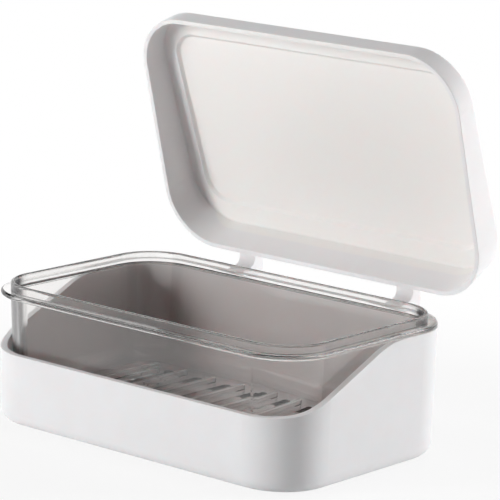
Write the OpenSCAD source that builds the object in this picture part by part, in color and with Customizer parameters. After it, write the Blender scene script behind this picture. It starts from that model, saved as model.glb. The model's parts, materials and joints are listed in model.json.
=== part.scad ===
// Travel soap box with a hinged lid, a lift-out clear tray and an outer case.
// Millimetres. The origin is the middle of the case's underside, +Z is up and
// the low front of the case faces -Y. The lid is drawn open, against its stop.

/* [Outline] */
// Length of the box from side to side
box_length = 126; // [110:1:150]
// Depth of the box from front to back
box_depth = 79; // [70:1:95]
// Radius of the four upright corners
corner_r = 18; // [14:0.5:24]

/* [Outer case] */
// Height of the low front rim
front_rim_h = 22.5; // [18:0.5:27]
// Height of the high back rim
back_rim_h = 39.3; // [36:0.1:45]
// Thickness of the case wall
case_wall = 2; // [1.6:0.1:2.4]
// Thickness of the case floor
case_floor_t = 2; // [1.6:0.1:3]
// How far the wall leans in from the back rim down to the floor
case_draft = 0.5; // [0.2:0.1:1.2]
// Radius of the edge round the underside
case_bottom_r = 4; // [3:0.5:6]
// Distance from the front face to where the side rim starts to rise
rise_start = 1; // [0:0.5:4]
// Slope of the straight middle of the rising rim, in degrees
rise_angle = 24; // [20:1:34]
// Radius of the hollow bend at the foot of the rise
rise_foot_r = 30; // [15:1:35]
// Radius of the round bend at the head of the rise
rise_head_r = 30; // [15:1:35]

/* [Clear tray] */
// Thickness of the flange that lies over the case's rim
flange_t = 1.6; // [1.2:0.1:2.2]
// Distance from the flange's outer edge in to the tray wall
flange_w = 3; // [2.8:0.1:4]
// Height of the upright lip above the flange
lip_h = 2.4; // [1.5:0.1:4]
// Thickness of the upright lip
lip_t = 1.4; // [1:0.1:1.8]
// Thickness of the tray wall below the flange
tray_wall = 2; // [1.6:0.1:2.6]
// Height of the tray's underside above the table
tray_bottom_z = 7.5; // [6:0.5:10]
// Thickness of the tray floor
tray_floor_t = 1.5; // [1.2:0.1:2.5]
// How far the tray wall leans in from the flange down to its floor
tray_draft = 1.5; // [1:0.1:2.5]
// Radius of the edge round the tray's underside
tray_bottom_r = 6; // [4:0.5:8]
// Number of drain slots in the tray floor
slot_count = 7; // [3:2:9]
// Width of a drain slot
slot_w = 3.2; // [2:0.1:4]
// Length of a drain slot
slot_l = 44; // [20:1:46]
// Distance from one drain slot to the next
slot_pitch = 12; // [9:0.5:13]
// Height of the ribs that hold the soap up
soap_rib_h = 1.5; // [0.8:0.1:2.5]
// Width of a soap rib
soap_rib_w = 2; // [1.5:0.1:3]
// Diameter of the tray's feet
foot_d = 6; // [4:0.5:8]

/* [Lid] */
// Height of the lid at its back, from the rim to the band round the panel
lid_back_h = 14.2; // [11:0.1:18]
// Height of the lid at its front
lid_front_h = 8.2; // [7:0.1:11]
// Thickness of the lid
lid_wall = 1.4; // [1.3:0.1:2]
// Lean of the lid's wall towards the top, in degrees
lid_lean = 5.5; // [3:0.5:7]
// Radius of the lid's outer top edge
lid_edge_r = 2.4; // [2:0.1:4]
// Radius of the corner inside the lid's edge
lid_inner_r = 0.7; // [0.5:0.1:1.5]
// Distance from the line of the lid's left and right rim to the raised panel
panel_side_inset = 7.6; // [7:0.1:10]
// Distance from the line of the lid's front and back rim to the raised panel
panel_end_inset = 9.3; // [8:0.1:11]
// Height of the raised panel above the band
panel_rise = 1; // [0.6:0.1:1.2]
// Slope of the step from the band to the panel, in degrees from upright
panel_slope = 45; // [0:5:50]
// Radius of the panel's edge
panel_edge_r = 0.8; // [0.4:0.1:1]
// Gap between the closed lid and the tray's flange
lid_gap = 0.3; // [0.2:0.05:0.6]

/* [Hinge] */
// Angle between the closed lid and the open lid
open_angle = 74; // [60:1:85]
// Distance from the box's middle to the middle of each arm
arm_x = 32; // [26:0.5:36]
// Width of an arm
arm_w = 6.4; // [5:0.1:9]
// Thickness of the arm where it leaves the lid
arm_t = 3.6; // [3:0.1:4.5]
// Radius of the hollow bend under the arm
arm_inner_r = 3; // [2:0.1:3.4]
// Radius of the arm's eye round the pin
eye_r = 3.8; // [3.2:0.1:4]
// Distance from the back of the case to the pin's axis
hinge_reach = 7.1; // [6.5:0.1:8]
// Distance from the closed lid's rim down to the pin's axis
hinge_drop = 6.4; // [6:0.1:8]
// Diameter of the pin
pin_d = 2.5; // [2:0.1:3]
// Running clearance all round the pin in the arm's eye
pin_clearance = 0.1; // [0.05:0.01:0.1]
// Thickness of each ear beside an arm
ear_t = 2.6; // [2:0.1:3.5]
// Radius of the ear round the pin
ear_r = 3.3; // [2.8:0.1:3.6]
// Gap between an ear and the arm
ear_gap = 0.3; // [0.2:0.05:0.5]
// How far the ear's lower end reaches below the pin's axis
ear_foot_drop = 9; // [7:0.5:12]
// Width of the heel that stops the open lid
heel_w = 3.2; // [2:0.1:3.4]
// Gap between the heel and the case when the lid is open
heel_gap = 0.3; // [0.2:0.05:0.5]

/* [Hidden] */
$fn = 96;
// How far a cut runs past the face it opens
cut = 1;
// How deep a piece that is moulded on starts inside the wall
root = 1;
// Heights of the tray's flange and of the closed lid's rim
flange_bottom = back_rim_h;
flange_top = flange_bottom + flange_t;
lid_rim_z = flange_top + lid_gap;
// The pin's axis
hinge_y = box_depth / 2 + hinge_reach;
hinge_z = lid_rim_z - hinge_drop;
// Centres of the corner rounds
corner_x = box_length / 2 - corner_r;
corner_y = box_depth / 2 - corner_r;

// Sweeps a profile round the outline of the box, or round another outline with
// its corner centres at half_x and half_y. The profile's X is the distance out
// from a corner's centre and its Y is the height.
module sweep_round(half_x = corner_x, half_y = corner_y) {
    for (quarter = [0 : 3]) {
        along_y = quarter % 2 == 0;
        reach = along_y ? half_x : half_y;
        half = along_y ? half_y : half_x;
        rotate([0, 0, 90 * quarter]) {
            translate([reach, half, 0])
                rotate_extrude(angle = 90) children();
            translate([reach, half, 0])
                rotate([90, 0, 0])
                    linear_extrude(2 * half) children();
        }
    }
}

// Fills the rectangle between the corner centres with a flat plate
module middle_plate(bottom, thickness, half_x = corner_x) {
    translate([-half_x, -corner_y, bottom])
        cube([2 * half_x, 2 * corner_y, thickness]);
}

// Upright section of a rounded tub, from its middle out to the wall. The wall
// leans out by lean over the height, and an arc joins it to the floor.
module tub_section(top_reach, height, lean, round_r) {
    tilt = atan(lean / height);
    foot_x = top_reach - lean + round_r * tan(tilt) - round_r / cos(tilt);
    tangent = [foot_x + round_r * cos(tilt), round_r * (1 - sin(tilt))];
    union() {
        polygon([[0, 0], [foot_x, 0], tangent, [top_reach, height], [0, height]]);
        intersection() {
            translate([foot_x, round_r]) circle(round_r);
            translate([foot_x, 0]) square([round_r, round_r]);
        }
    }
}

// Side view of what is cut away above the rim: X is the depth and Y the height
module above_rim() {
    start_y = -box_depth / 2 + rise_start;
    foot_run = rise_foot_r * sin(rise_angle);
    foot_rise = rise_foot_r * (1 - cos(rise_angle));
    head_run = rise_head_r * sin(rise_angle);
    head_rise = rise_head_r * (1 - cos(rise_angle));
    slope_rise = back_rim_h - front_rim_h - foot_rise - head_rise;
    slope_run = slope_rise / tan(rise_angle);
    slope_start = [start_y + foot_run, front_rim_h + foot_rise];
    slope_end = slope_start + [slope_run, slope_rise];
    end_y = slope_end[0] + head_run;
    clear_y = -box_depth / 2 - cut;
    clear_z = back_rim_h + cut;
    difference() {
        union() {
            polygon([
                [clear_y, front_rim_h], [start_y, front_rim_h], slope_start, slope_end,
                [end_y, back_rim_h], [end_y, clear_z], [clear_y, clear_z]
            ]);
            intersection() {
                translate([start_y, front_rim_h + rise_foot_r]) circle(rise_foot_r);
                translate([start_y, front_rim_h]) square([foot_run, foot_rise]);
            }
        }
        intersection() {
            translate([end_y, back_rim_h - rise_head_r]) circle(rise_head_r);
            translate([slope_end[0], slope_end[1]]) square([head_run, head_rise]);
        }
    }
}

// Section of a hollow: a tub section that runs on past its own open top
module hollow_section(top_reach, height, lean, round_r) {
    tub_section(top_reach, height, lean, round_r);
    translate([0, height - cut / 10]) square([top_reach, cut]);
}

// The case's wall and floor
module case_section() {
    difference() {
        tub_section(corner_r, back_rim_h, case_draft, case_bottom_r);
        translate([0, case_floor_t])
            hollow_section(corner_r - case_wall, back_rim_h - case_floor_t, case_draft,
                case_bottom_r - case_wall);
    }
}

// Side view of an ear, with the pin's axis at the origin: a round end, and a
// lower edge that runs from the case to touch the round
module ear_side() {
    wall = [-hinge_reach - root, -ear_foot_drop];
    reach = norm(wall);
    touch = atan2(-wall[1], -wall[0]) - asin(ear_r / reach);
    difference() {
        union() {
            circle(ear_r);
            polygon([wall, ear_r * [sin(touch), -cos(touch)], [0, 0], [0, ear_r], [wall[0], ear_r]]);
        }
        circle(pin_d / 2);
    }
}

// Turns a side view into a piece of the given width, with its middle at x and
// the origin of the view on the pin's axis
module beside_pin(x, width) {
    translate([x - width / 2, hinge_y, hinge_z])
        rotate([90, 0, 90])
            linear_extrude(width) children();
}

module outer_case() color("white") {
    difference() {
        union() {
            sweep_round() case_section();
            middle_plate(0, case_floor_t);
        }
        translate([-box_length / 2 - cut, 0, 0])
            rotate([90, 0, 90])
                linear_extrude(box_length + 2 * cut) above_rim();
    }
    for (side = [-1, 1], end = [-1, 1]) {
        ear_x = side * arm_x + end * (arm_w / 2 + ear_gap + ear_t / 2);
        beside_pin(ear_x, ear_t) ear_side();
    }
}

// The tray's floor, wall, flange and lip
module tray_section() {
    wall_reach = corner_r - flange_w;
    wall_height = flange_bottom - tray_bottom_z;
    floor_top = tray_bottom_z + tray_floor_t;
    difference() {
        union() {
            translate([0, tray_bottom_z])
                tub_section(wall_reach, wall_height, tray_draft, tray_bottom_r);
            translate([0, flange_bottom]) square([corner_r - flange_t / 2, flange_t]);
            translate([corner_r - flange_t / 2, flange_bottom + flange_t / 2]) circle(flange_t / 2);
            translate([0, flange_bottom]) square([wall_reach, flange_t + lip_h - lip_t / 2]);
            translate([wall_reach - lip_t / 2, flange_top + lip_h - lip_t / 2]) circle(lip_t / 2);
        }
        translate([0, floor_top])
            hollow_section(wall_reach - tray_wall, flange_bottom - floor_top, tray_draft,
                tray_bottom_r - tray_floor_t);
        translate([-cut, flange_bottom]) square([wall_reach - lip_t + cut, flange_t + lip_h + cut]);
    }
}

// A slot with round ends along Y
module slot_outline(length, width) {
    straight = length - width;
    square([width, straight], center = true);
    for (end = [-1, 1])
        translate([0, end * straight / 2]) circle(width / 2);
}

module soap_tray() color([0.86, 0.92, 0.94, 0.45]) {
    floor_top = tray_bottom_z + tray_floor_t;
    first_slot = -(slot_count - 1) / 2;
    difference() {
        union() {
            sweep_round() tray_section();
            middle_plate(tray_bottom_z, tray_floor_t);
            for (i = [0 : slot_count])
                translate([(first_slot + i - 0.5) * slot_pitch, 0, tray_bottom_z])
                    linear_extrude(tray_floor_t + soap_rib_h) slot_outline(slot_l, soap_rib_w);
            for (side = [-1, 1], end = [-1, 1])
                translate([side * corner_x, end * corner_y, case_floor_t])
                    cylinder(d = foot_d, h = tray_bottom_z - case_floor_t + tray_floor_t / 2);
        }
        for (i = [0 : slot_count - 1])
            translate([(first_slot + i) * slot_pitch, 0, tray_bottom_z - cut])
                linear_extrude(tray_floor_t + 2 * cut) slot_outline(slot_l, slot_w);
    }
}

// A filled tub whose wall leans out by an angle, upright on z = 0, with foot as
// the reach of its wall where the edge would be without its round
module leaning_tub(foot, height, angle, round_r, half_x = corner_x) {
    lean = height * tan(angle);
    sweep_round(half_x) tub_section(foot + lean, height, lean, round_r);
    middle_plate(0, height, half_x);
}

// The lid before its rim is cut, upside down like a tub that stands on its
// panel. The panel stands proud outside and is sunk by as much inside.
module lid_tub(height, foot) {
    panel_r = corner_r - panel_end_inset;
    panel_x = box_length / 2 - panel_side_inset - panel_r;
    step_h = panel_rise + lid_wall;
    difference() {
        union() {
            translate([0, 0, panel_rise])
                leaning_tub(foot, height, lid_lean, lid_edge_r);
            leaning_tub(panel_r, step_h, panel_slope, panel_edge_r, panel_x);
        }
        translate([0, 0, step_h])
            leaning_tub(foot - lid_wall, height, lid_lean, lid_inner_r);
        translate([0, 0, lid_wall])
            leaning_tub(panel_r - lid_wall / 2, step_h, panel_slope, panel_edge_r, panel_x);
    }
}

// The closed lid's shell. Its tub is tilted so that the top slopes down to the
// front, and the level plane of the rim cuts off what reaches below it.
module lid_shell() {
    slope = atan((lid_back_h - lid_front_h) / box_depth);
    middle_h = (lid_back_h + lid_front_h) / 2 * cos(slope);
    below_h = box_depth / 2 * tan(slope) + cut;
    foot = corner_r - middle_h * tan(lid_lean);
    shift = box_depth / 2 * tan(slope) * tan(lid_lean);
    difference() {
        translate([0, -shift, lid_rim_z])
            rotate([slope, 0, 0])
                translate([0, 0, middle_h + panel_rise])
                    mirror([0, 0, 1])
                        lid_tub(middle_h + below_h, foot);
        translate([-box_length, -box_depth, lid_rim_z - lid_back_h])
            cube([2 * box_length, 2 * box_depth, lid_back_h]);
    }
}

// Side view of an arm on the closed lid, with the pin's axis at the origin: it
// leaves the lid level, bends down and ends in the eye and the heel
module arm_side() {
    under = hinge_drop + lid_gap;
    over = under + arm_t;
    bend_r = 2 * eye_r;
    difference() {
        union() {
            circle(eye_r);
            translate([-eye_r, 0]) square([2 * eye_r, over - bend_r]);
            intersection() {
                translate([-eye_r, over - bend_r]) circle(bend_r);
                translate([-eye_r, over - bend_r]) square(bend_r);
            }
            translate([-hinge_reach - root, under]) square([hinge_reach + root - eye_r, arm_t]);
            translate([-eye_r - arm_inner_r, under - arm_inner_r])
                difference() {
                    square(arm_inner_r + eye_r / 2);
                    circle(arm_inner_r);
                }
            rotate(open_angle)
                translate([-hinge_reach + heel_gap, -heel_w / 2])
                    square([hinge_reach - heel_gap, heel_w]);
        }
        circle(pin_d / 2 + pin_clearance);
    }
}

module lid() color("white") {
    translate([0, hinge_y, hinge_z])
        rotate([-open_angle, 0, 0])
            translate([0, -hinge_y, -hinge_z]) {
                lid_shell();
                for (side = [-1, 1])
                    beside_pin(side * arm_x, arm_w) arm_side();
            }
}

// A steel pin, flush with the outer faces of its two ears
module hinge_pin(x) color("silver") {
    beside_pin(x, arm_w + 2 * (ear_gap + ear_t)) circle(d = pin_d);
}

module hinge_pin_left() hinge_pin(-arm_x);

module hinge_pin_right() hinge_pin(arm_x);

outer_case();
soap_tray();
lid();
hinge_pin_left();
hinge_pin_right();
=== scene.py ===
# Travel soap box: a white case and lid of polypropylene with a clear tray between them.
# Metres and degrees, in the frame of the model: +X to the right, -Y the low front, +Z up.
import json
import math

import bpy
from mathutils import Matrix, Vector

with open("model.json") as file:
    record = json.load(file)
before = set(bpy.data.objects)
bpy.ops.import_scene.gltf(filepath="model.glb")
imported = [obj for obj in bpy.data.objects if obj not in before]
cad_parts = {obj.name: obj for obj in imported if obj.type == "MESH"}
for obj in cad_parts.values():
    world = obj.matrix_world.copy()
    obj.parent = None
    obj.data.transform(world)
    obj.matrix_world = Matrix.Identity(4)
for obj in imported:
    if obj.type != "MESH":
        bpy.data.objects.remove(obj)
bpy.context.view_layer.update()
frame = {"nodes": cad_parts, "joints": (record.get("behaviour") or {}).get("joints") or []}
MM = 0.001

# The camera, as it was fitted to the outlines of the box
CAMERA_AZIMUTH = 40.3
CAMERA_ELEVATION = 12.2
CAMERA_ROLL = 1.8
CAMERA_DISTANCE = 0.910
CAMERA_TARGET = Vector((0.0054, 0.0085, 0.0569))
LENS_MM = 217
SENSOR_MM = 36
CLIP_NEAR = 0.01
CLIP_FAR = 20

# White moulded plastic: its two tones, and the waves and the grain of its surface
CASE_TONES = ("#e6e5e6", "#eaeaec")
LID_TONES = ("#ecebec", "#efeeef")
WAVE_SIZE = 9 * MM
WAVE_DETAIL = 1.0
GRAIN_SIZE = 0.35 * MM
GRAIN_DETAIL = 2.0
GRAIN_DEPTH = 0.02 * MM
GRAIN_STRENGTH = 0.15
SATIN_ROUGHNESS = (0.30, 0.38)
POLYPROPYLENE_IOR = 1.49

# Light that enters the white plastic and comes out again, red farthest
SCATTER_SHARE = 0.25
SCATTER_COLOURS = (1.0, 0.6, 0.55)
SCATTER_DEPTH = 2 * MM

# Clear plastic. On its upright walls a painted shade, for the dark room seen at
# their edges, grows from EDGE_START to EDGE_FULL, where 0 is a wall seen square
# on and 1 is a wall seen edge on.
CLEAR_TONE = "#fbfaf9"
# Painted shade: the dark tone that upright walls take as they turn from the eye
EDGE_PAINTED_SHADE = "#2c2c2e"
LET_THROUGH = "#f0eeed"
EDGE_START = 0.3
EDGE_FULL = 0.6
POLYSTYRENE_IOR = 1.59

# Steel wire, with lines that are long along X
STEEL_TONE = "#c9c8c5"
STEEL_ROUGHNESS = (0.22, 0.4)
LINE_SIZE = 0.12 * MM
LINE_DETAIL = 2.0
LINE_STRETCH = 50

# Edges as a mould leaves them
SOFT_EDGE = 0.35 * MM
SOFT_EDGE_STEPS = 3
SHARP_ANGLE = 40
WELD_DISTANCE = 0.001 * MM

# The flat panel of the open lid, on which a lighter, warmer tone is painted
# for the light bounced inside the lid. Its middle is measured from the hinge, up the lid.
BOX_LENGTH = 126 * MM
BOX_DEPTH = 79 * MM
HINGE_REACH = 7.1 * MM
LID_OPEN_ANGLE = 74
PANEL_SIDE_INSET = 7.6 * MM
PANEL_END_INSET = 9.3 * MM
# Painted light: the lighter, warmer tone of the panel, for light bounced inside the lid
PANEL_PAINTED_LIGHT = "#f2f0ee"
PANEL_WIDTH = BOX_LENGTH - 2 * PANEL_SIDE_INSET
PANEL_DEPTH = BOX_DEPTH - 2 * PANEL_END_INSET
PANEL_MIDDLE = BOX_DEPTH / 2 + HINGE_REACH
PANEL_CORNER = 10 * MM
PANEL_FADE = 0.4 * MM

# The floor is white from the outer reach of the box's shadow on
FLOOR_HALF = 3.0
FLOOR_DROP = 0.02 * MM
FLOOR_TONE = "#f0f0f0"
SHADOW_SHARE = 0.15
SHADOW_REACH = (0.09, 0.22)

# Light from all round, and what glass and gloss show of the room: white walls
# under a dark ceiling. The walls are dimmer round one azimuth. DIM_SHARE_FULL is
# the cosine of the angle from there at which they are as dim as they get.
FILL_LIGHT = 0.05
WALL_TOP = 20
CEILING_START = 26
CEILING_LIGHT = 0.0
DIM_AZIMUTH = 60
DIM_WALL_LIGHT = 0.35
DIM_SHARE_FULL = 0.6
WHITE = (1, 1, 1, 1)

# Soft lamps: azimuth, elevation, width, height and level, which is the light on
# a surface that faces the lamp, where 1 shows a white surface as white
LAMP_DISTANCE = 1.0
LAMPS = {
    "left_softbox": (-30, 8, 0.3, 0.6, 0.93),
    "right_softbox": (136, 8, 0.3, 0.6, 1.02),
    "back_softbox": (225, 15, 0.6, 0.6, 0.08),
    "top_softbox": (180, 80, 0.5, 0.5, 0.3),
}


def from_azimuth(azimuth, elevation):
    """Unit vector that points from the box to a viewer at these angles."""
    turn = math.radians(azimuth)
    lift = math.radians(elevation)
    level = math.cos(lift)
    return Vector((math.sin(turn) * level, -math.cos(turn) * level, math.sin(lift)))


def linear(hex_colour):
    """An sRGB hex colour as linear RGBA."""
    shares = [int(hex_colour[i : i + 2], 16) / 255 for i in (1, 3, 5)]
    return [s / 12.92 if s <= 0.04045 else ((s + 0.055) / 1.055) ** 2.4 for s in shares] + [1.0]


def add(tree, kind, settings=None, inputs=None):
    """Adds a node. An input is a value, or an output socket to link from."""
    node = tree.nodes.new(kind)
    for name, value in (settings or {}).items():
        setattr(node, name, value)
    for name, value in (inputs or {}).items():
        if isinstance(value, bpy.types.NodeSocket):
            tree.links.new(value, node.inputs[name])
        else:
            node.inputs[name].default_value = value
    return node


def maths(tree, operation, *values):
    """The result of a calculation on values."""
    node = add(tree, "ShaderNodeMath", {"operation": operation}, dict(enumerate(values)))
    return node.outputs["Value"]


def vector_maths(tree, operation, *vectors):
    """The result of a calculation on vectors: a vector, a length or a dot product."""
    node = add(tree, "ShaderNodeVectorMath", {"operation": operation}, dict(enumerate(vectors)))
    return node.outputs["Value" if operation in ("LENGTH", "DOT_PRODUCT") else "Vector"]


def ramp(tree, value, ends, results=(0.0, 1.0), kind="SMOOTHSTEP"):
    """Goes from the first result to the second while a value goes from end to end."""
    node = add(tree, "ShaderNodeMapRange", {"interpolation_type": kind}, {
        "Value": value,
        "From Min": ends[0],
        "From Max": ends[1],
        "To Min": results[0],
        "To Max": results[1],
    })
    return node.outputs["Result"]


def noise(tree, place, size, detail):
    """Soft spots of about this size, as values from 0 to 1."""
    inputs = {"Vector": place, "Scale": 1 / size, "Detail": detail}
    return add(tree, "ShaderNodeTexNoise", inputs=inputs).outputs["Fac"]


def height_of(tree, vector):
    """The Z of a vector."""
    return add(tree, "ShaderNodeSeparateXYZ", inputs={"Vector": vector}).outputs["Z"]


def mix_colours(tree, share, first, second):
    """Mixes two colours, from the first at a share of 0 to the second at 1."""
    inputs = {"Factor": share, 6: first, 7: second}
    return add(tree, "ShaderNodeMix", {"data_type": "RGBA"}, inputs).outputs[2]


def mix_shaders(tree, share, first, second):
    """Mixes two shaders, from the first at a share of 0 to the second at 1."""
    inputs = {"Fac": share, 1: first, 2: second}
    return add(tree, "ShaderNodeMixShader", inputs=inputs).outputs["Shader"]


def new_material(name):
    """An empty material and its node tree."""
    material = bpy.data.materials.new(name)
    material.use_nodes = True
    material.node_tree.nodes.clear()
    return material, material.node_tree


def put_out(tree, kind, shader):
    """Ends a node tree with an output node that shows the shader."""
    add(tree, kind, inputs={"Surface": shader})


def panel_painted_light_share(tree, place):
    """1 on the flat panel of the lid, where the painted bounce light goes, and 0 outside its
    rounded outline.
    """
    turn = math.radians(LID_OPEN_ANGLE)
    up_lid = Vector((0, math.cos(turn), math.sin(turn)))
    hinge = Vector(frame["joints"][0]["pos_m"])
    straight = (PANEL_WIDTH / 2 - PANEL_CORNER, PANEL_DEPTH / 2 - PANEL_CORNER, 0)
    across = add(tree, "ShaderNodeSeparateXYZ", inputs={"Vector": place}).outputs["X"]
    along = vector_maths(tree, "DOT_PRODUCT", place, up_lid)
    from_middle = maths(tree, "SUBTRACT", along, hinge.dot(up_lid) + PANEL_MIDDLE)
    spot = add(tree, "ShaderNodeCombineXYZ", inputs={"X": across, "Y": from_middle})
    quarter = vector_maths(tree, "ABSOLUTE", spot.outputs["Vector"])
    beyond = vector_maths(tree, "SUBTRACT", quarter, straight)
    outside = vector_maths(tree, "MAXIMUM", beyond, (0, 0, 0))
    reach = vector_maths(tree, "LENGTH", outside)
    ends = (PANEL_CORNER - PANEL_FADE, PANEL_CORNER + PANEL_FADE)
    return ramp(tree, reach, ends, (1.0, 0.0))


def moulded_polypropylene(name, tones, painted_panel_light=None):
    """White polypropylene from a fine satin mould: a soft broad sheen over a
    faintly translucent body, with the slight waviness of a cooled skin. On the
    flat panel of the lid a lighter, warmer tone may be painted, for the light
    bounced inside the lid."""
    material, tree = new_material(name)
    place = add(tree, "ShaderNodeTexCoord").outputs["Object"]
    waviness = noise(tree, place, WAVE_SIZE, WAVE_DETAIL)
    grain = noise(tree, place, GRAIN_SIZE, GRAIN_DETAIL)
    colour = mix_colours(tree, waviness, linear(tones[0]), linear(tones[1]))
    # Painted light: a lighter, warmer tone on the lid's flat panel, for light bounced inside
    # the lid
    if painted_panel_light:
        colour = mix_colours(tree, panel_painted_light_share(tree, place), colour, linear(painted_panel_light))
    relief = add(tree, "ShaderNodeBump", inputs={
        "Height": grain,
        "Strength": GRAIN_STRENGTH,
        "Distance": GRAIN_DEPTH,
    })
    skin = add(tree, "ShaderNodeBsdfPrincipled", inputs={
        "Base Color": colour,
        "Roughness": ramp(tree, grain, (0.0, 1.0), SATIN_ROUGHNESS, "LINEAR"),
        "Normal": relief.outputs["Normal"],
        "IOR": POLYPROPYLENE_IOR,
        "Subsurface Weight": SCATTER_SHARE,
        "Subsurface Radius": SCATTER_COLOURS,
        "Subsurface Scale": SCATTER_DEPTH,
    })
    put_out(tree, "ShaderNodeOutputMaterial", skin.outputs["BSDF"])
    return material


def clear_polystyrene(name):
    """Crystal-clear polystyrene from a polished mould: hard reflections, and a
    painted shade on upright walls where they turn from the eye, for the dark room
    seen at their edges. It lets lamplight through."""
    material, tree = new_material(name)
    turned = add(tree, "ShaderNodeLayerWeight", inputs={"Blend": 0.5}).outputs["Facing"]
    normal = add(tree, "ShaderNodeNewGeometry").outputs["Normal"]
    flat = maths(tree, "ABSOLUTE", height_of(tree, normal))
    upright = maths(tree, "SUBTRACT", 1.0, flat)
    # Painted shade on upright walls that turn from the eye, for the dark room seen at their
    # edges
    edge = maths(tree, "MULTIPLY", ramp(tree, turned, (EDGE_START, EDGE_FULL)), upright)
    body = add(tree, "ShaderNodeBsdfPrincipled", inputs={
        "Base Color": mix_colours(tree, edge, linear(CLEAR_TONE), linear(EDGE_PAINTED_SHADE)),
        "Roughness": 0.0,
        "IOR": POLYSTYRENE_IOR,
        "Transmission Weight": 1.0,
    })
    open_air = add(tree, "ShaderNodeBsdfTransparent", inputs={"Color": linear(LET_THROUGH)})
    rays = add(tree, "ShaderNodeLightPath").outputs
    lighting = maths(tree, "MAXIMUM", rays["Is Shadow Ray"], rays["Is Diffuse Ray"])
    surface = mix_shaders(tree, lighting, body.outputs["BSDF"], open_air.outputs["BSDF"])
    put_out(tree, "ShaderNodeOutputMaterial", surface)
    return material


def drawn_steel(name):
    """Stainless steel wire, drawn through a die: bright, with fine lines along it."""
    material, tree = new_material(name)
    place = add(tree, "ShaderNodeTexCoord").outputs["Object"]
    scale = (1 / LINE_STRETCH, 1.0, 1.0)
    stretched = add(tree, "ShaderNodeMapping", inputs={"Vector": place, "Scale": scale})
    lines = noise(tree, stretched.outputs["Vector"], LINE_SIZE, LINE_DETAIL)
    metal = add(tree, "ShaderNodeBsdfPrincipled", inputs={
        "Base Color": linear(STEEL_TONE),
        "Metallic": 1.0,
        "Roughness": ramp(tree, lines, (0.0, 1.0), STEEL_ROUGHNESS, "LINEAR"),
    })
    put_out(tree, "ShaderNodeOutputMaterial", metal.outputs["BSDF"])
    return material


def dress(node, material):
    """Gives a node of the model its material in every slot."""
    mesh = frame["nodes"][node].data
    if not mesh.materials:
        mesh.materials.append(material)
    for slot in range(len(mesh.materials)):
        mesh.materials[slot] = material


def soften_edges(node):
    """Rounds the sharp edges of a node slightly, as a mould leaves them."""
    piece = frame["nodes"][node]
    weld = piece.modifiers.new("weld", "WELD")
    weld.merge_threshold = WELD_DISTANCE
    bevel = piece.modifiers.new("soft_edges", "BEVEL")
    bevel.width = SOFT_EDGE
    bevel.segments = SOFT_EDGE_STEPS
    bevel.limit_method = "ANGLE"
    bevel.angle_limit = math.radians(SHARP_ANGLE)


def pale_floor():
    """A plain white floor that keeps a faint shadow round the foot of the box."""
    half = FLOOR_HALF
    corners = [(-half, -half, 0), (half, -half, 0), (half, half, 0), (-half, half, 0)]
    mesh = bpy.data.meshes.new("floor")
    mesh.from_pydata(corners, [], [(0, 1, 2, 3)])
    floor = bpy.data.objects.new("floor", mesh)
    floor.location.z = -FLOOR_DROP
    bpy.context.scene.collection.objects.link(floor)
    material, tree = new_material("floor_white")
    place = add(tree, "ShaderNodeNewGeometry").outputs["Position"]
    away = vector_maths(tree, "LENGTH", place)
    white_share = ramp(tree, away, SHADOW_REACH, (1 - SHADOW_SHARE, 1.0))
    rays = add(tree, "ShaderNodeLightPath").outputs
    clear = maths(tree, "MAXIMUM", rays["Is Camera Ray"], rays["Is Transmission Ray"])
    seen = maths(tree, "MAXIMUM", clear, rays["Is Glossy Ray"])
    share = maths(tree, "MULTIPLY", seen, white_share)
    lit = add(tree, "ShaderNodeBsdfDiffuse", inputs={"Color": linear(FLOOR_TONE)})
    glow = add(tree, "ShaderNodeEmission", inputs={"Color": WHITE, "Strength": 1.0})
    surface = mix_shaders(tree, share, lit.outputs["BSDF"], glow.outputs["Emission"])
    put_out(tree, "ShaderNodeOutputMaterial", surface)
    mesh.materials.append(material)


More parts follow.
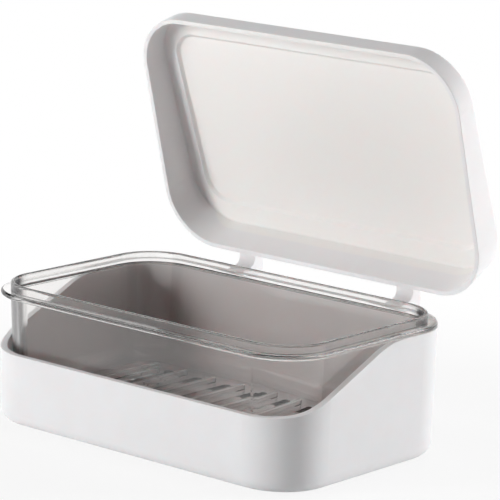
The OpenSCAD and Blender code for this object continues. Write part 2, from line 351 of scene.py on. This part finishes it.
def studio_world():
    """White where the camera looks, an even dim light on the box, and for glass
    and gloss a white room under a dark ceiling."""
    world = bpy.data.worlds.new("studio")
    bpy.context.scene.world = world
    world.use_nodes = True
    tree = world.node_tree
    tree.nodes.clear()
    rays = add(tree, "ShaderNodeLightPath").outputs
    way = add(tree, "ShaderNodeTexCoord").outputs["Generated"]
    dim_share = vector_maths(tree, "DOT_PRODUCT", way, from_azimuth(DIM_AZIMUTH, 0))
    walls = ramp(tree, dim_share, (0.0, DIM_SHARE_FULL), (1.0, DIM_WALL_LIGHT))
    ends = [math.sin(math.radians(angle)) for angle in (WALL_TOP, CEILING_START)]
    room = ramp(tree, height_of(tree, way), ends, (walls, CEILING_LIGHT))
    shown, fill, white = [
        add(tree, "ShaderNodeBackground", inputs={"Color": WHITE, "Strength": strength})
        .outputs["Background"]
        for strength in (room, FILL_LIGHT, 1.0)
    ]
    unseen = mix_shaders(tree, rays["Is Diffuse Ray"], shown, fill)
    surface = mix_shaders(tree, rays["Is Camera Ray"], unseen, white)
    put_out(tree, "ShaderNodeOutputWorld", surface)


def softbox(name, azimuth, elevation, width, height, level):
    """A soft lamp that faces the box and shows in no reflection."""
    lamp = bpy.data.lights.new(name, "AREA")
    lamp.shape = "RECTANGLE"
    lamp.size = width
    lamp.size_y = height
    lamp.energy = level * math.pi * math.pi * LAMP_DISTANCE**2
    lamp_object = bpy.data.objects.new(name, lamp)
    way = from_azimuth(azimuth, elevation)
    lamp_object.location = CAMERA_TARGET + way * LAMP_DISTANCE
    lamp_object.rotation_euler = (-way).to_track_quat("-Z", "Y").to_euler()
    lamp_object.visible_camera = False
    lamp_object.visible_glossy = False
    lamp_object.visible_transmission = False
    bpy.context.scene.collection.objects.link(lamp_object)


def photo_camera():
    """The camera that took the photograph."""
    camera = bpy.data.cameras.new("camera")
    camera.lens = LENS_MM
    camera.sensor_width = SENSOR_MM
    camera.clip_start = CLIP_NEAR
    camera.clip_end = CLIP_FAR
    camera_object = bpy.data.objects.new("camera", camera)
    way = from_azimuth(CAMERA_AZIMUTH, CAMERA_ELEVATION)
    roll = Matrix.Rotation(math.radians(CAMERA_ROLL), 3, "Z")
    turn = (-way).to_track_quat("-Z", "Y").to_matrix() @ roll
    place = Matrix.Translation(CAMERA_TARGET + way * CAMERA_DISTANCE)
    camera_object.matrix_world = place @ turn.to_4x4()
    bpy.context.scene.collection.objects.link(camera_object)
    bpy.context.scene.camera = camera_object


# The pieces and their materials
dress("outer_case", moulded_polypropylene("case_polypropylene", CASE_TONES))
dress("lid", moulded_polypropylene("lid_polypropylene", LID_TONES, PANEL_PAINTED_LIGHT))
dress("soap_tray", clear_polystyrene("tray_polystyrene"))
steel = drawn_steel("pin_steel")
for pin in ("hinge_pin_left", "hinge_pin_right"):
    dress(pin, steel)
for shell in ("lid", "outer_case"):
    soften_edges(shell)

# The studio
pale_floor()
studio_world()
for lamp_name, setting in LAMPS.items():
    softbox(lamp_name, *setting)
photo_camera()
bpy.context.scene.view_settings.view_transform = "Standard"

bpy.context.view_layer.update()
